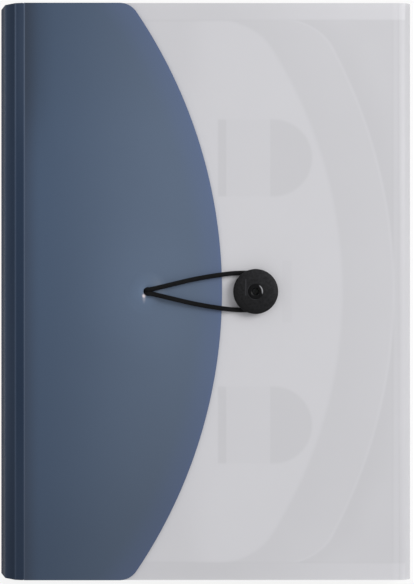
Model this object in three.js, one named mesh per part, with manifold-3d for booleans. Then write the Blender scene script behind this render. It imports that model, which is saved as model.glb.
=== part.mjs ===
// Expanding file for A4 papers: a frosted cover with pleated pockets, closed by a blue flap,
// an elastic loop and a riveted button. Millimetres, +Z out of the front, mouth at -X.
import * as THREE from 'three';
import { mergeVertices } from 'three/addons/utils/BufferGeometryUtils.js';
import Module from 'manifold-3d';

const wasm = await Module();
wasm.setup();

// Overall sizes
const WIDTH = 240;            // mouth side to bottom fold, along X
const HEIGHT = 334;           // side to side, along Y
const POCKETS = 5;            // compartments between the two panels
const POCKET_GAP = 4.3;       // clear height of each compartment

// Sheets
const COVER_SHEET = 0.8;
const BLUE_SHEET = 0.8;
const DIVIDER_SHEET = 0.4;
const LINER_SHEET = 0.4;
const TONGUE_SHEET = 0.4;
const GUSSET_SHEET = 0.4;
const SEAT = 0.3;             // clearance between sheets that lie on each other

// Cover
const PANEL_MOUTH = 19;       // front panel's mouth edge, from the mouth side
const FOLD_RADIUS = 7;        // outer radius of both corners of the bottom fold

// Blue flap sheet
const HEM_LENGTH = 12;        // hem welded to the back panel
const SCORE_RUNS = [4.5, 10.8, 15.9];  // scores across the spine, from the mouth side
const FLAP_LIFT = 0.5;        // clearance of the flap over the front panel
const FLAP_ARC_RADIUS = 289;  // curve of the flap's free edge
const FLAP_REACH = 130.5;     // middle of the free edge, from the mouth side
const FLAP_CORNER = 12;       // rounding where the curve meets the straight sides
const DIMPLE_RADIUS = 11.6;   // raised ring that the loop pulls up round its hole
const DIMPLE_RISE = 1.6;
const LOOP_HOLE_INSET = 42.9; // from the flap's free edge back to the loop's hole
const LOOP_HOLE_RADIUS = 3.2;

// Pleats
const SIDE_MARGIN = 10;       // from the cover's sides in to the folds that hold the dividers
const BOTTOM_MARGIN = 8.2;    // the same at the bottom fold
const SIDE_PLEAT_ROOM = 1.6;  // margin that the side pleats leave for their own folds
const BOTTOM_PLEAT_ROOM = 4.3;
const SIDE_FLANGE = 3.1;      // weld flange of the side pleats
const BOTTOM_FLANGE = 2.2;
const PLEAT_MOUTH = 21;       // mouth end of the side pleats

// Dividers
const DIVIDER_MOUTH = 27;     // mouth edge of each divider
const TAB_DEPTH = 7;
const TAB_LENGTH = 52;
const TAB_CORNER = 3;
const TAB_MARGIN = 14;        // from the divider's side to the first tab

// Liner sheets and tongues inside the front pocket
const LINER_MOUTH = 24;
const WIDE_ARC_RADIUS = 297.6;
const WIDE_INSET = 2.6;       // from the bottom folds back to the wide liner's free edge
const NARROW_ARC_RADIUS = 262.2;
const NARROW_INSET = 31.8;
const LINER_CORNER = 12;
const TONGUE_WIDTH = 44.5;
const TONGUE_OFFSET = 77.3;   // middle of each tongue, from the middle
const TONGUE_INSET = 17.4;    // from the narrow liner's free edge back to the tongues' tips
const TONGUE_LENGTH = 54.4;
const TONGUE_HEAD = 24.6;     // from a tongue's tip back to where it starts down through its slot
const TONGUE_DIP_RUN = 8;
const CENTRE_SLOT_OFFSET = 18.2;  // past the button's middle
const CENTRE_SLOT_WIDTH = 4.6;
const CENTRE_SLOT_LENGTH = 35;

// Button and elastic
const BUTTON_OFFSET = 19.4;   // from the flap's free edge to the button's middle
const CAP_RADIUS = 13;
const CAP_THICKNESS = 2.4;
const CAP_ROUND = 1.2;        // how far the cap's edge rounds in
const CAP_WIDEST = 1;         // height of the edge's widest line
const CAP_SHOULDER = 0.7;     // below the top, where the edge turns in
const CAP_CROWN = 3.5;        // from the edge in to the flat top
const CAP_CROWN_DROP = 0.25;  // fall of the top at the rounded edge
const COLLAR_RADIUS = 9;
const COLLAR_WAIST = 0.4;     // how far the collar draws in at its middle
const COLLAR_HEIGHT = 2.9;
const RIVET_RADIUS = 2.6;
const RIVET_BORE = 1.8;
const RIVET_HEAD_RADIUS = 4.35;
const RIVET_HEAD = 0.7;
const RIVET_HEAD_LEAN = 0.15; // how far the head's side leans in
const RIVET_HEAD_ROUND = 0.7; // how far its top rounds in
const RIVET_MOUTH = 1.2;      // how far the bore's mouth is rolled out
const RIVET_TAIL_RADIUS = 4.2;
const RIVET_TAIL = 0.5;
const RIVET_TAIL_CURL = 0.4;  // how far the tail's edge curls in
const WASHER_RADIUS = 6.5;
const WASHER_THICKNESS = 0.5;
const CORD_RADIUS = 1.2;
const CORD_SPREAD_AT_HOLE = 1.3;
const CORD_SIDES = 8;
const CORD_STEPS = 68;
const ANCHOR_RADIUS = 5;
const ANCHOR_THICKNESS = 1.2;
const ANCHOR_ROUND = 0.4;     // how far the anchor's edge rounds in

// Places that follow, then heights of the stack from the back panel's outer face up
const dividerCount = POCKETS - 1;
const halfHeight = HEIGHT / 2;
const sideLine = halfHeight - SIDE_MARGIN;
const bottomLine = WIDTH - BOTTOM_MARGIN;
const bend = WIDTH - FOLD_RADIUS;
const sidePleat = SIDE_MARGIN - SIDE_PLEAT_ROOM;
const bottomPleat = BOTTOM_MARGIN - BOTTOM_PLEAT_ROOM;
const wideReach = bottomLine - WIDE_INSET;
const narrowReach = bottomLine - NARROW_INSET;
const tongueTip = narrowReach - TONGUE_INSET;
const tongueRoot = tongueTip - TONGUE_LENGTH;
const tongueDip = tongueTip - TONGUE_HEAD;
const loopHoleX = FLAP_REACH - LOOP_HOLE_INSET;
const buttonX = FLAP_REACH + BUTTON_OFFSET;
const pocketFloor = (index) => COVER_SHEET + index * (POCKET_GAP + DIVIDER_SHEET);
const dividerBottom = (index) => pocketFloor(index) - DIVIDER_SHEET;
const linerStack = 4 * SEAT + 2 * LINER_SHEET + TONGUE_SHEET;
const rivetTailRoom = WASHER_THICKNESS + SEAT + RIVET_TAIL + SEAT;
const panelUnder = pocketFloor(dividerCount) + POCKET_GAP + linerStack + rivetTailRoom;
const coverTop = panelUnder + COVER_SHEET;
const wideLinerBottom = panelUnder - SEAT - LINER_SHEET;
const tongueRootMiddle = wideLinerBottom - SEAT - TONGUE_SHEET / 2;
const narrowLinerTop = tongueRootMiddle - TONGUE_SHEET / 2 - SEAT;
const narrowLinerBottom = narrowLinerTop - LINER_SHEET;
const tongueTipMiddle = narrowLinerBottom - SEAT - TONGUE_SHEET / 2;
const washerTop = narrowLinerBottom - SEAT;
const rivetTailTop = washerTop - WASHER_THICKNESS - SEAT;
const flapBottom = coverTop + FLAP_LIFT;
const flapTop = flapBottom + BLUE_SHEET;
const flapMiddle = (flapBottom + flapTop) / 2;
const collarBottom = coverTop + SEAT;
const capBottom = collarBottom + COLLAR_HEIGHT + SEAT;
const rivetHeadBottom = capBottom + CAP_THICKNESS + SEAT;
const rivetHole = RIVET_RADIUS + SEAT;
const cordNeckZ = (coverTop + capBottom) / 2;
const cordNeckRadius = COLLAR_RADIUS + SEAT + CORD_RADIUS;

const materials = {
  frosted: new THREE.MeshStandardMaterial({ color: 0xd6d6da, roughness: 0.5, transparent: true, opacity: 0.6 }),
  film: new THREE.MeshStandardMaterial({ color: 0xcfcfd4, roughness: 0.55, transparent: true, opacity: 0.6 }),
  blue: new THREE.MeshStandardMaterial({ color: 0x586578, roughness: 0.45 }),
  elastic: new THREE.MeshStandardMaterial({ color: 0x151516, roughness: 0.8 }),
  button: new THREE.MeshStandardMaterial({ color: 0x1c1c1e, roughness: 0.5 }),
  rivet: new THREE.MeshStandardMaterial({ color: 0x121214, roughness: 0.3, metalness: 0.4 }),
};

const file = new THREE.Group();
file.position.x = -WIDTH / 2;

function add(name, geometry, material) {
  const mesh = new THREE.Mesh(geometry, material);
  mesh.name = name;
  file.add(mesh);
  return mesh;
}

// Solids from outlines

function extrudeZ(shape, low, high, segments = 48) {
  const geometry = new THREE.ExtrudeGeometry(shape, {
    depth: high - low, bevelEnabled: false, curveSegments: segments,
  });
  return geometry.translate(0, 0, low);
}

// An outline drawn in X and Z, carried along Y.
function extrudeY(shape, low, high, segments = 12) {
  const geometry = extrudeZ(shape, -high, -low, segments);
  const turn = new THREE.Matrix4().makeBasis(
    new THREE.Vector3(1, 0, 0), new THREE.Vector3(0, 0, 1), new THREE.Vector3(0, -1, 0));
  return geometry.applyMatrix4(turn);
}

// An outline drawn in Y and Z, carried along X.
function extrudeX(shape, low, high) {
  const geometry = extrudeZ(shape, low, high);
  const turn = new THREE.Matrix4().makeBasis(
    new THREE.Vector3(0, 1, 0), new THREE.Vector3(0, 0, 1), new THREE.Vector3(1, 0, 0));
  return geometry.applyMatrix4(turn);
}

// A profile of [radius, height] points revolved round Z.
function revolve(profile, x, z, segments = 48) {
  const points = profile.map(([radius, height]) => new THREE.Vector2(radius, height));
  points.push(points[0].clone());
  return new THREE.LatheGeometry(points, segments).rotateX(Math.PI / 2).translate(x, 0, z);
}

function toSolid(geometry) {
  const bare = geometry.clone();
  bare.deleteAttribute('normal');
  bare.deleteAttribute('uv');
  const merged = mergeVertices(bare, 1e-4);
  return new wasm.Manifold(new wasm.Mesh({
    numProp: 3,
    vertProperties: new Float32Array(merged.attributes.position.array),
    triVerts: new Uint32Array(merged.index.array),
  }));
}

function toGeometry(solid) {
  const mesh = solid.getMesh();
  const geometry = new THREE.BufferGeometry();
  geometry.setAttribute('position', new THREE.BufferAttribute(mesh.vertProperties, 3));
  geometry.setIndex(new THREE.BufferAttribute(mesh.triVerts, 1));
  geometry.computeVertexNormals();
  return geometry;
}

function circleHole(x, y, radius) {
  const path = new THREE.Path();
  path.absarc(x, y, radius, 0, Math.PI * 2, true);
  return path;
}

function slotHole(x, y, lengthX, lengthY) {
  const path = new THREE.Path();
  path.moveTo(x - lengthX / 2, y - lengthY / 2);
  path.lineTo(x - lengthX / 2, y + lengthY / 2);
  path.lineTo(x + lengthX / 2, y + lengthY / 2);
  path.lineTo(x + lengthX / 2, y - lengthY / 2);
  path.closePath();
  return path;
}

// How far a mitred fold of a sheet stands out past the fold of its middle line.
function foldReach(thickness, legRun, legRise) {
  return thickness / 2 / Math.sin(Math.atan2(legRise, legRun));
}

// The section of a folded sheet whose middle line passes through the given points.
function foldedSection(points, thickness) {
  const line = points.map(([u, v]) => new THREE.Vector2(u, v));
  const side = (sign) => line.map((point, index) => {
    const before = line[Math.max(index - 1, 0)];
    const after = line[Math.min(index + 1, line.length - 1)];
    const into = point.clone().sub(before).normalize();
    const out = after.clone().sub(point).normalize();
    if (index === 0) into.copy(out);
    if (index === line.length - 1) out.copy(into);
    const normal = new THREE.Vector2(-into.y - out.y, into.x + out.x).normalize();
    const reach = thickness / 2 / normal.dot(new THREE.Vector2(-into.y, into.x));
    return point.clone().addScaledVector(normal, sign * reach);
  });
  return new THREE.Shape([...side(1), ...side(-1).reverse()]);
}

// A sheet with a straight edge at the mouth, straight sides and a long curved free edge.
function curvedSheet(mouth, half, reach, radius, corner) {
  const centre = reach - radius;
  const filletX = centre + Math.sqrt((radius - corner) ** 2 - (half - corner) ** 2);
  const turn = Math.atan2(half - corner, filletX - centre);
  const shape = new THREE.Shape();
  shape.moveTo(mouth, half);
  shape.lineTo(mouth, -half);
  shape.lineTo(filletX, -half);
  shape.absarc(filletX, corner - half, corner, -Math.PI / 2, -turn, false);
  shape.absarc(centre, 0, radius, -turn, turn, false);
  shape.absarc(filletX, half - corner, corner, turn, Math.PI / 2, false);
  shape.closePath();
  return shape;
}

// The room inside the cover, a seat's clearance from its sheet, drawn in X and Z.
function coverInside() {
  const radius = FOLD_RADIUS - COVER_SHEET - SEAT;
  const shape = new THREE.Shape();
  shape.moveTo(0, COVER_SHEET + SEAT);
  shape.lineTo(bend, COVER_SHEET + SEAT);
  shape.absarc(bend, FOLD_RADIUS, radius, -Math.PI / 2, 0, false);
  shape.lineTo(bend + radius, coverTop - FOLD_RADIUS);
  shape.absarc(bend, coverTop - FOLD_RADIUS, radius, 0, Math.PI / 2, false);
  shape.lineTo(0, panelUnder - SEAT);
  shape.closePath();
  return shape;
}

// Cover: front panel, rounded bottom fold and back panel in one sheet

function makeCover() {
  const backEdge = BLUE_SHEET / 2 + SEAT + BLUE_SHEET / 2 + HEM_LENGTH + SEAT;
  const inner = FOLD_RADIUS - COVER_SHEET;
  const shape = new THREE.Shape();
  shape.moveTo(backEdge, 0);
  shape.lineTo(bend, 0);
  shape.absarc(bend, FOLD_RADIUS, FOLD_RADIUS, -Math.PI / 2, 0, false);
  shape.lineTo(WIDTH, coverTop - FOLD_RADIUS);
  shape.absarc(bend, coverTop - FOLD_RADIUS, FOLD_RADIUS, 0, Math.PI / 2, false);
  shape.lineTo(PANEL_MOUTH, coverTop);
  shape.lineTo(PANEL_MOUTH, panelUnder);
  shape.lineTo(bend, panelUnder);
  shape.absarc(bend, coverTop - FOLD_RADIUS, inner, Math.PI / 2, 0, true);
  shape.lineTo(WIDTH - COVER_SHEET, FOLD_RADIUS);
  shape.absarc(bend, FOLD_RADIUS, inner, 0, -Math.PI / 2, true);
  shape.lineTo(backEdge, COVER_SHEET);
  shape.closePath();
  const sheet = toSolid(extrudeY(shape, -halfHeight, halfHeight, 10));
  const drill = new THREE.CylinderGeometry(rivetHole, rivetHole, 4 * COVER_SHEET, 32)
    .rotateX(Math.PI / 2).translate(buttonX, 0, panelUnder + COVER_SHEET / 2);
  add('cover_shell', toGeometry(sheet.subtract(toSolid(drill))), materials.frosted);
}

// Blue sheet: hem on the back panel, scored spine and closing flap

function makeBlueSheet() {
  const rearScore = BLUE_SHEET / 2;
  const hingeGap = BLUE_SHEET / 2 + SEAT;
  const frontScore = SCORE_RUNS[SCORE_RUNS.length - 1];
  const rise = flapMiddle - BLUE_SHEET / 2;
  const hem = foldedSection([
    [rearScore + hingeGap, BLUE_SHEET / 2],
    [rearScore + hingeGap + HEM_LENGTH, BLUE_SHEET / 2],
  ], BLUE_SHEET);
  add('flap_hem', extrudeY(hem, -halfHeight, halfHeight), materials.blue);

  const spineRun = frontScore - rearScore;
  const scores = SCORE_RUNS.map((x) => {
    const back = (frontScore - x) / spineRun;
    return [x, BLUE_SHEET / 2 + rise * Math.sqrt(1 - back * back)];
  });
  const last = scores[scores.length - 1];
  const beforeLast = scores[scores.length - 2];
  const facet = Math.hypot(last[0] - beforeLast[0], last[1] - beforeLast[1]);
  const keep = 1 - hingeGap / facet;
  const spineEnd = [
    beforeLast[0] + (last[0] - beforeLast[0]) * keep,
    beforeLast[1] + (last[1] - beforeLast[1]) * keep,
  ];
  const spine = foldedSection([[rearScore, BLUE_SHEET / 2], ...scores.slice(0, -1), spineEnd], BLUE_SHEET);
  add('spine_strip', extrudeY(spine, -halfHeight, halfHeight), materials.blue);

  const plan = curvedSheet(frontScore, halfHeight, FLAP_REACH, FLAP_ARC_RADIUS, FLAP_CORNER);
  plan.holes.push(circleHole(loopHoleX, 0, DIMPLE_RADIUS));
  const sheet = toSolid(extrudeZ(plan, flapBottom, flapTop, 32));
  add('closing_flap', toGeometry(sheet.add(toSolid(makeDimple()))), materials.blue);
}

// The ring of flap sheet that the loop pulls up: a smooth rise from the flat sheet to the hole's rim.
function makeDimple() {
  const rings = 7;
  const overlap = 0.02;
  const upper = [];
  for (let index = 0; index <= rings; index += 1) {
    const share = index / rings;
    const radius = DIMPLE_RADIUS + overlap - (DIMPLE_RADIUS + overlap - LOOP_HOLE_RADIUS) * share;
    const lift = DIMPLE_RISE * (0.5 - 0.5 * Math.cos(Math.PI * share));
    upper.push([radius, lift + BLUE_SHEET]);
  }
  const lower = upper.map(([radius, height]) => [radius, height - BLUE_SHEET]).reverse();
  return revolve([...lower, ...upper], loopHoleX, flapBottom, 48);
}

// Dividers, each with an index tab a step further along the mouth

function makeDividers() {
  const half = sideLine - SEAT;
  const step = (2 * (half - TAB_MARGIN) - TAB_LENGTH) / Math.max(dividerCount - 1, 1);
  for (let index = 1; index <= dividerCount; index += 1) {
    const tabTop = half - TAB_MARGIN - (index - 1) * step;
    const tabEnd = tabTop - TAB_LENGTH;
    const tabMouth = DIVIDER_MOUTH - TAB_DEPTH;
    const shape = new THREE.Shape();
    shape.moveTo(bottomLine - SEAT, half);
    shape.lineTo(DIVIDER_MOUTH, half);
    shape.lineTo(DIVIDER_MOUTH, tabTop);
    shape.lineTo(tabMouth + TAB_CORNER, tabTop);
    shape.absarc(tabMouth + TAB_CORNER, tabTop - TAB_CORNER, TAB_CORNER, Math.PI / 2, Math.PI, false);
    shape.absarc(tabMouth + TAB_CORNER, tabEnd + TAB_CORNER, TAB_CORNER, Math.PI, Math.PI * 1.5, false);
    shape.lineTo(DIVIDER_MOUTH, tabEnd);
    shape.lineTo(DIVIDER_MOUTH, -half);
    shape.lineTo(bottomLine - SEAT, -half);
    shape.closePath();
    const low = dividerBottom(index);
    add(`divider_${index}`, extrudeZ(shape, low, low + DIVIDER_SHEET, 6), materials.film);
  }
}

// Pleats: each strip folds in at every divider and out between them

function pleatLine(innerLine, depth, flangeEnds) {
  const pitch = POCKET_GAP + DIVIDER_SHEET;
  const valley = innerLine + foldReach(GUSSET_SHEET, depth, pitch / 2);
  const dividerMiddle = (index) => dividerBottom(index) + DIVIDER_SHEET / 2;
  const points = [...flangeEnds(COVER_SHEET + SEAT + GUSSET_SHEET / 2)];
  for (let index = 1; index <= dividerCount; index += 1) {
    points.push([valley, dividerMiddle(index)]);
    if (index < dividerCount) points.push([valley + depth, dividerMiddle(index) + pitch / 2]);
  }
  points.push(...flangeEnds(panelUnder - SEAT - GUSSET_SHEET / 2).reverse());
  return points;
}

function makeGussets() {
  const sideEdge = halfHeight - SEAT;
  const sideFlange = (z) => [[sideEdge, z], [sideEdge - SIDE_FLANGE, z]];
  const side = pleatLine(sideLine, sidePleat, sideFlange);
  const room = toSolid(extrudeY(coverInside(), -halfHeight, halfHeight, 10));
  const fitted = (points) => {
    const strip = toSolid(extrudeX(foldedSection(points, GUSSET_SHEET), PLEAT_MOUTH, WIDTH));
    return toGeometry(strip.intersect(room));
  };
  add('gusset_upper', fitted(side), materials.film);
  add('gusset_lower', fitted(side.map(([y, z]) => [-y, z])), materials.film);

  const bottomFlange = (z) => [[bend - BOTTOM_FLANGE, z], [bend, z]];
  const bottom = foldedSection(pleatLine(bottomLine, bottomPleat, bottomFlange), GUSSET_SHEET);
  const bottomEnd = sideLine - SEAT;
  add('gusset_bottom', extrudeY(bottom, -bottomEnd, bottomEnd), materials.film);
}

// Curved liner sheets under the front panel, held by the button's rivet and a weld at the mouth

function makeLiners() {
  const half = sideLine - SEAT;
  const wide = curvedSheet(LINER_MOUTH, half, wideReach, WIDE_ARC_RADIUS, LINER_CORNER);
  wide.holes.push(circleHole(buttonX, 0, rivetHole));
  add('liner_wide', extrudeZ(wide, wideLinerBottom, wideLinerBottom + LINER_SHEET, 32), materials.film);

  const narrow = curvedSheet(LINER_MOUTH, half, narrowReach, NARROW_ARC_RADIUS, LINER_CORNER);
  narrow.holes.push(circleHole(buttonX, 0, rivetHole));
  narrow.holes.push(slotHole(buttonX + CENTRE_SLOT_OFFSET, 0, CENTRE_SLOT_WIDTH, CENTRE_SLOT_LENGTH));
  const slotX = tongueDip + TONGUE_DIP_RUN / 2;
  const slotLength = TONGUE_DIP_RUN + 4 * SEAT;
  for (const sign of [1, -1]) {
    narrow.holes.push(slotHole(slotX, sign * TONGUE_OFFSET, slotLength, TONGUE_WIDTH + 2 * SEAT));
  }
  add('liner_narrow', extrudeZ(narrow, narrowLinerBottom, narrowLinerTop, 32), materials.film);
}

// Tongues: each starts above the narrow liner, dips through its slot and ends in a half disc below

function makeTongue(name, middle) {
  const section = foldedSection([
    [tongueRoot, tongueRootMiddle],
    [tongueDip, tongueRootMiddle],
    [tongueDip + TONGUE_DIP_RUN, tongueTipMiddle],
    [tongueTip, tongueTipMiddle],
  ], TONGUE_SHEET);
  const half = TONGUE_WIDTH / 2;
  const strip = toSolid(extrudeY(section, middle - half, middle + half));
  const outline = new THREE.Shape();
  const spare = 1;
  outline.moveTo(tongueRoot - spare, middle + half + spare);
  outline.lineTo(tongueRoot - spare, middle - half - spare);
  outline.lineTo(tongueTip - half, middle - half - spare);
  outline.lineTo(tongueTip - half, middle - half);
  outline.absarc(tongueTip - half, middle, half, -Math.PI / 2, Math.PI / 2, false);
  outline.lineTo(tongueTip - half, middle + half + spare);
  outline.closePath();
  const cutter = toSolid(extrudeZ(outline, tongueTipMiddle - spare, tongueRootMiddle + spare, 28));
  add(name, toGeometry(strip.intersect(cutter)), materials.film);
}

// Button: cap on a collar, held by a hollow rivet with a washer behind

function makeButton() {
  add('button_cap', revolve([
    [rivetHole, 0],
    [CAP_RADIUS - CAP_ROUND, 0],
    [CAP_RADIUS - CAP_ROUND / 4, CAP_WIDEST * 0.35],
    [CAP_RADIUS, CAP_WIDEST],
    [CAP_RADIUS - CAP_ROUND / 4, CAP_THICKNESS - CAP_SHOULDER],
    [CAP_RADIUS - CAP_ROUND, CAP_THICKNESS - CAP_CROWN_DROP],
    [CAP_RADIUS - CAP_CROWN, CAP_THICKNESS],
    [rivetHole, CAP_THICKNESS],
  ], buttonX, capBottom, 64), materials.button);
  add('button_collar', revolve([
    [rivetHole, 0],
    [COLLAR_RADIUS, 0],
    [COLLAR_RADIUS - COLLAR_WAIST, COLLAR_HEIGHT / 3],
    [COLLAR_RADIUS - COLLAR_WAIST, COLLAR_HEIGHT * 2 / 3],
    [COLLAR_RADIUS, COLLAR_HEIGHT],
    [rivetHole, COLLAR_HEIGHT],
  ], buttonX, collarBottom), materials.button);
  add('button_washer', revolve([
    [rivetHole, 0],
    [WASHER_RADIUS, 0],
    [WASHER_RADIUS, WASHER_THICKNESS],
    [rivetHole, WASHER_THICKNESS],
  ], buttonX, washerTop - WASHER_THICKNESS), materials.rivet);

  const tail = rivetTailTop - rivetHeadBottom;
  add('button_rivet', revolve([
    [RIVET_BORE, tail - RIVET_TAIL],
    [RIVET_TAIL_RADIUS - RIVET_TAIL_CURL, tail - RIVET_TAIL],
    [RIVET_TAIL_RADIUS, tail],
    [RIVET_RADIUS, tail],
    [RIVET_RADIUS, 0],
    [RIVET_HEAD_RADIUS, 0],
    [RIVET_HEAD_RADIUS - RIVET_HEAD_LEAN, RIVET_HEAD * 0.55],
    [RIVET_HEAD_RADIUS - RIVET_HEAD_ROUND, RIVET_HEAD],
    [RIVET_BORE + RIVET_MOUTH, RIVET_HEAD],
    [RIVET_BORE + RIVET_MOUTH / 3, RIVET_HEAD * 0.6],
    [RIVET_BORE, 0],
  ], buttonX, rivetHeadBottom), materials.rivet);
}

// Elastic: a loop from the anchor up through the flap's hole and round the collar under the cap

function makeElastic() {
  const anchorBottom = coverTop + SEAT;
  const anchorTop = anchorBottom + ANCHOR_THICKNESS;
  add('loop_anchor', revolve([
    [0, 0],
    [ANCHOR_RADIUS - ANCHOR_ROUND, 0],
    [ANCHOR_RADIUS, ANCHOR_THICKNESS / 2],
    [ANCHOR_RADIUS - ANCHOR_ROUND, ANCHOR_THICKNESS],
    [0, ANCHOR_THICKNESS],
  ], loopHoleX, anchorBottom, 32), materials.elastic);

  const overFlap = flapTop + SEAT + CORD_RADIUS;
  const rimTop = flapTop + DIMPLE_RISE;
  const capEdge = buttonX - CAP_RADIUS;
  const half = [
    [loopHoleX - 1, CORD_SPREAD_AT_HOLE, anchorTop + SEAT],
    [loopHoleX - 0.7, CORD_SPREAD_AT_HOLE, rimTop + 0.2],
    [loopHoleX + 1, CORD_SPREAD_AT_HOLE + 0.2, rimTop + 1.5],
    [loopHoleX + 5, CORD_SPREAD_AT_HOLE + 1, rimTop + 1.9],
    [loopHoleX + LOOP_HOLE_INSET * 0.33, cordNeckRadius * 0.39, rimTop + 1.6],
    [loopHoleX + LOOP_HOLE_INSET * 0.65, cordNeckRadius * 0.685, overFlap + 0.9],
    [FLAP_REACH, cordNeckRadius * 0.92, overFlap + 0.2],
    [capEdge + 1, cordNeckRadius, cordNeckZ + 0.1],
  ];
  const points = half.map(([x, y, z]) => new THREE.Vector3(x, y, z));
  const turns = 8;
  for (let index = 0; index <= turns; index += 1) {
    const angle = Math.PI / 2 - (index / turns) * Math.PI;
    points.push(new THREE.Vector3(
      buttonX + cordNeckRadius * Math.cos(angle), cordNeckRadius * Math.sin(angle), cordNeckZ));
  }
  points.push(...half.slice().reverse().map(([x, y, z]) => new THREE.Vector3(x, -y, z)));
  const section = new THREE.Shape();
  for (let index = 0; index < CORD_SIDES; index += 1) {
    const angle = (index / CORD_SIDES) * Math.PI * 2;
    const x = CORD_RADIUS * Math.cos(angle);
    const y = CORD_RADIUS * Math.sin(angle);
    if (index === 0) section.moveTo(x, y);
    else section.lineTo(x, y);
  }
  section.closePath();
  const loop = new THREE.ExtrudeGeometry(section, {
    steps: CORD_STEPS, bevelEnabled: false, extrudePath: new THREE.CatmullRomCurve3(points),
  });
  add('elastic_loop', loop, materials.elastic);
}

makeCover();
makeBlueSheet();
makeDividers();
makeGussets();
makeLiners();
makeTongue('tongue_upper', TONGUE_OFFSET);
makeTongue('tongue_lower', -TONGUE_OFFSET);
makeButton();
makeElastic();

export default file;
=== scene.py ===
"""Expanding file in a soft white studio.

A frosted cover with pleated pockets, closed by a blue flap, an elastic loop and a button.
"""

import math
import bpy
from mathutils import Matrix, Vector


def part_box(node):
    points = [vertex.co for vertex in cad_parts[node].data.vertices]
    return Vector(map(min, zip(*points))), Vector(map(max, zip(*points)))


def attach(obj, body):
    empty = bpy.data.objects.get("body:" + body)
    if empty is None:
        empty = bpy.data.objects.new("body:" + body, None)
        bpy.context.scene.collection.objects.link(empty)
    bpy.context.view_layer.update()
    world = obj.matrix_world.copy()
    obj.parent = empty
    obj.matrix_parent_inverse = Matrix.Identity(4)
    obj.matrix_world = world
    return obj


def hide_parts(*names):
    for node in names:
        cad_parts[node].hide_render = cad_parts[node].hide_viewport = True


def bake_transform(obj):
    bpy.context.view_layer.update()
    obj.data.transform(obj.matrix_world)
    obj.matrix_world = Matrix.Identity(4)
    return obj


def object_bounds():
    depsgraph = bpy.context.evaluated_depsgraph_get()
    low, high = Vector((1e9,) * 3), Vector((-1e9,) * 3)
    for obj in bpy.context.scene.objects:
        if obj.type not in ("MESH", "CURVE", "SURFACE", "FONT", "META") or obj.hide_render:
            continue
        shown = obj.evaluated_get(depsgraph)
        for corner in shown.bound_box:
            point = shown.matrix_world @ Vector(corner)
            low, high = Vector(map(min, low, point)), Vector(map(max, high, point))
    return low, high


bl_info = {
    "name": "Expanding file",
    "version": (1, 0, 0),
    "blender": (4, 5, 0),
    "location": "View3D > Sidebar > Expanding file",
    "description": "Dresses the packed expanding file and sets its studio",
    "category": "Object",
}

import bmesh
import bpy
from mathutils import Vector

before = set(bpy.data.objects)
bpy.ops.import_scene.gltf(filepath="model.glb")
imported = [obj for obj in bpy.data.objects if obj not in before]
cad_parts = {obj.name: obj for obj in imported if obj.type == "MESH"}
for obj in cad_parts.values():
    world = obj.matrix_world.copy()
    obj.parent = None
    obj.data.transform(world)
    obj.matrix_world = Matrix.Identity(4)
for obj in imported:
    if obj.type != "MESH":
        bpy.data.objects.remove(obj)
CAD_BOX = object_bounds()

MM = 0.001
MOUTH_X = CAD_BOX[0].x
PANEL_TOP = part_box("cover_shell")[1].z
FLAP_LOW, FLAP_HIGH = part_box("closing_flap")
SPINE_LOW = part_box("spine_strip")[0]
CAP_LOW, CAP_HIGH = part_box("button_cap")
COLLAR_LOW, COLLAR_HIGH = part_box("button_collar")
LOOP_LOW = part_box("elastic_loop")[0]
ANCHOR_LOW, ANCHOR_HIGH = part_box("loop_anchor")
BUTTON_X = (CAP_LOW.x + CAP_HIGH.x) / 2
HOLE_X = (ANCHOR_LOW.x + ANCHOR_HIGH.x) / 2
COLLAR_RADIUS = (COLLAR_HIGH.x - COLLAR_LOW.x) / 2

# The same places as the materials take them, in millimetres
PANEL_LEVEL = PANEL_TOP / MM
BUTTON_PLACE = (BUTTON_X - MOUTH_X) / MM
HOLE_PLACE = (HOLE_X - MOUTH_X) / MM

WHITE = (1.0, 1.0, 1.0, 1.0)


def scene_colour(red, green, blue):
    """A screen colour, 0 to 255, as the linear colour that Blender takes."""
    def linear(value):
        share = value / 255
        return share / 12.92 if share <= 0.04045 else ((share + 0.055) / 1.055) ** 2.4
    return (linear(red), linear(green), linear(blue), 1.0)


def opaque(colour):
    """A colour setting with the alpha that a colour socket asks for."""
    return (*colour, 1.0)


# Shader nodes

class Sock:
    """A shader socket that takes part in Python sums."""

    def __init__(self, tree, socket):
        self.tree = tree
        self.socket = socket

    def __add__(self, other):
        return self.tree.math("ADD", self, other)

    def __radd__(self, other):
        return self.tree.math("ADD", other, self)

    def __sub__(self, other):
        return self.tree.math("SUBTRACT", self, other)

    def __rsub__(self, other):
        return self.tree.math("SUBTRACT", other, self)

    def __mul__(self, other):
        return self.tree.math("MULTIPLY", self, other)

    def __rmul__(self, other):
        return self.tree.math("MULTIPLY", other, self)

    def abs(self):
        return self.tree.math("ABSOLUTE", self)

    def max(self, other):
        return self.tree.math("MAXIMUM", self, other)

    def root(self):
        return self.tree.math("SQRT", self)

    def sine(self):
        return self.tree.math("SINE", self)

    def step(self, low, high):
        """0 up to low, 1 past high, smooth between; low may be above high for a fall."""
        return self.tree.node("ShaderNodeMapRange", {"interpolation_type": "SMOOTHSTEP"},
                              {0: self, 1: low, 2: high, 3: 0.0, 4: 1.0})[0]

    def band(self, middle, half, soft):
        """1 within half of middle, falling to 0 over soft."""
        return (self - middle).abs().step(half + soft, half)

    def hump(self, low, top, high):
        """0 at low, 1 at top and 0 again at high."""
        return self.step(low, top) * self.step(high, top)

    def up_to(self, edge, soft):
        """1 before the edge and 0 past it; the fall starts and ends soft away from it."""
        return self.step(edge + soft, edge - soft)


def distance(first, second):
    """How far a place is from the origin of two axes."""
    return (first * first + second * second).root()


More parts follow.
